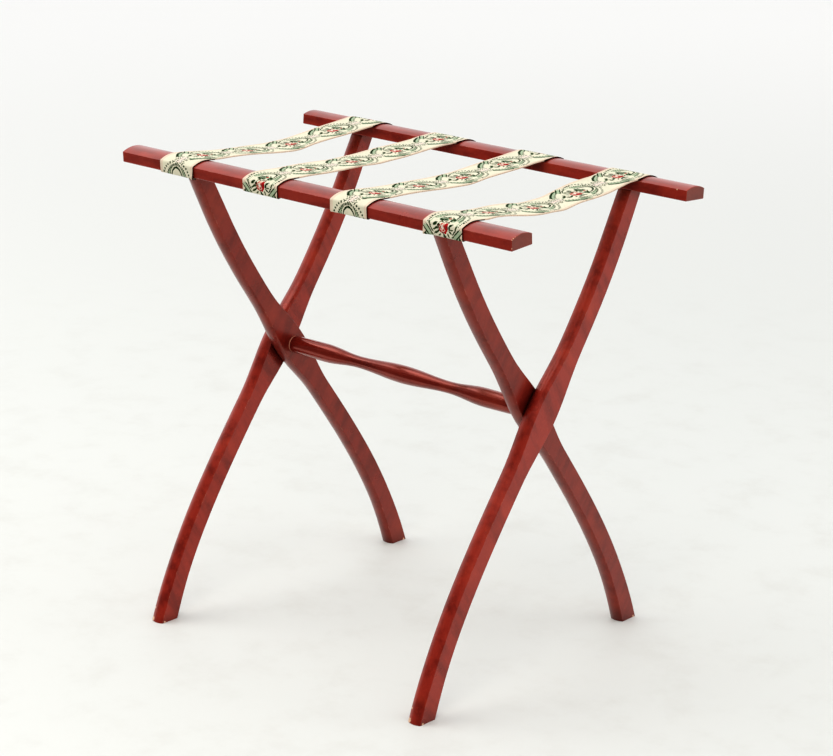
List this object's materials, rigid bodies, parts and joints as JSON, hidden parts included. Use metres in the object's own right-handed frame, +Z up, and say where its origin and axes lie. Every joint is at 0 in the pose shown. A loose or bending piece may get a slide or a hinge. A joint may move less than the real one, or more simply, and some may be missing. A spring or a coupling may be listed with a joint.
{
  "type": "folding luggage rack",
  "caption": "Folding wooden luggage rack: curved X legs crossing on a turned stretcher, two crowned rails and woven floral webbing straps.",
  "frame": {"origin": "on the floor, midway between the rails and midway along them, below the stretcher", "axes": "+X along the rails, +Y from the front rail to the back rail, +Z up"},
  "size_m": [0.538, 0.38, 0.5107],
  "materials": {
    "mahogany_wood": "red mahogany stain under semi-gloss lacquer, worn pale at a few corners",
    "bare_wood": "plain beech, unfinished",
    "tapestry_webbing": "cream jacquard webbing with green trellis and red roses",
    "pivot_steel": "plain bright steel",
    "tack_steel": "blued steel"
  },
  "bodies": {
    "inner_frame": {"front_rail": "mahogany_wood", "front_rail_dowels": "bare_wood", "front_tacks": "tack_steel", "inner_leg_left": "mahogany_wood", "inner_leg_right": "mahogany_wood", "pivot_pin_left": "pivot_steel", "pivot_pin_right": "pivot_steel", "pivot_washer_left": "pivot_steel", "pivot_washer_right": "pivot_steel", "strap_1_front_wrap": "tapestry_webbing", "strap_2_front_wrap": "tapestry_webbing", "strap_3_front_wrap": "tapestry_webbing", "strap_4_front_wrap": "tapestry_webbing", "stretcher": "mahogany_wood"},
    "outer_frame": {"back_rail": "mahogany_wood", "back_rail_dowels": "bare_wood", "back_tacks": "tack_steel", "outer_leg_left": "mahogany_wood", "outer_leg_right": "mahogany_wood", "strap_1_back_wrap": "tapestry_webbing", "strap_2_back_wrap": "tapestry_webbing", "strap_3_back_wrap": "tapestry_webbing", "strap_4_back_wrap": "tapestry_webbing"},
    "strap_1_front_run": {"strap_1_front_half": "tapestry_webbing"},
    "strap_1_back_run": {"strap_1_back_half": "tapestry_webbing"},
    "strap_2_front_run": {"strap_2_front_half": "tapestry_webbing"},
    "strap_2_back_run": {"strap_2_back_half": "tapestry_webbing"},
    "strap_3_front_run": {"strap_3_front_half": "tapestry_webbing"},
    "strap_3_back_run": {"strap_3_back_half": "tapestry_webbing"},
    "strap_4_front_run": {"strap_4_front_half": "tapestry_webbing"},
    "strap_4_back_run": {"strap_4_back_half": "tapestry_webbing"}
  },
  "joints": [
    {"name": "fold", "type": "hinge", "parent": "inner_frame", "child": "outer_frame", "pos_m": [0, 0, 0.282], "axis": [1, 0, 0], "range_deg": [0, 55]},
    {"name": "strap_1_front_drop", "type": "hinge", "parent": "inner_frame", "child": "strap_1_front_run", "pos_m": [0, -0.12133, 0.50843], "axis": [-1, 0, 0], "range_deg": [0, 57.53], "deforming": ["strap_1_front_half"]},
    {"name": "strap_1_back_drop", "type": "hinge", "parent": "outer_frame", "child": "strap_1_back_run", "pos_m": [0, 0.12133, 0.50843], "axis": [1, 0, 0], "range_deg": [0, 57.53], "deforming": ["strap_1_back_half"]},
    {"name": "strap_2_front_drop", "type": "hinge", "parent": "inner_frame", "child": "strap_2_front_run", "pos_m": [0, -0.12133, 0.50889], "axis": [-1, 0, 0], "range_deg": [0, 60], "deforming": ["strap_2_front_half"]},
    {"name": "strap_2_back_drop", "type": "hinge", "parent": "outer_frame", "child": "strap_2_back_run", "pos_m": [0, 0.12133, 0.50889], "axis": [1, 0, 0], "range_deg": [0, 60], "deforming": ["strap_2_back_half"]},
    {"name": "strap_3_front_drop", "type": "hinge", "parent": "inner_frame", "child": "strap_3_front_run", "pos_m": [0, -0.12133, 0.50867], "axis": [-1, 0, 0], "range_deg": [0, 58.88], "deforming": ["strap_3_front_half"]},
    {"name": "strap_3_back_drop", "type": "hinge", "parent": "outer_frame", "child": "strap_3_back_run", "pos_m": [0, 0.12133, 0.50867], "axis": [1, 0, 0], "range_deg": [0, 58.88], "deforming": ["strap_3_back_half"]},
    {"name": "strap_4_front_drop", "type": "hinge", "parent": "inner_frame", "child": "strap_4_front_run", "pos_m": [0, -0.12133, 0.50823], "axis": [-1, 0, 0], "range_deg": [0, 56.41], "deforming": ["strap_4_front_half"]},
    {"name": "strap_4_back_drop", "type": "hinge", "parent": "outer_frame", "child": "strap_4_back_run", "pos_m": [0, 0.12133, 0.50823], "axis": [1, 0, 0], "range_deg": [0, 56.41], "deforming": ["strap_4_back_half"]}
  ],
  "couplings": [
    {"joint": "strap_1_front_drop", "follows": "fold", "ratio": 1.046},
    {"joint": "strap_1_back_drop", "follows": "fold", "ratio": 1.046},
    {"joint": "strap_2_front_drop", "follows": "fold", "ratio": 1.0909},
    {"joint": "strap_2_back_drop", "follows": "fold", "ratio": 1.0909},
    {"joint": "strap_3_front_drop", "follows": "fold", "ratio": 1.0705},
    {"joint": "strap_3_back_drop", "follows": "fold", "ratio": 1.0705},
    {"joint": "strap_4_front_drop", "follows": "fold", "ratio": 1.0256},
    {"joint": "strap_4_back_drop", "follows": "fold", "ratio": 1.0256}
  ]
}
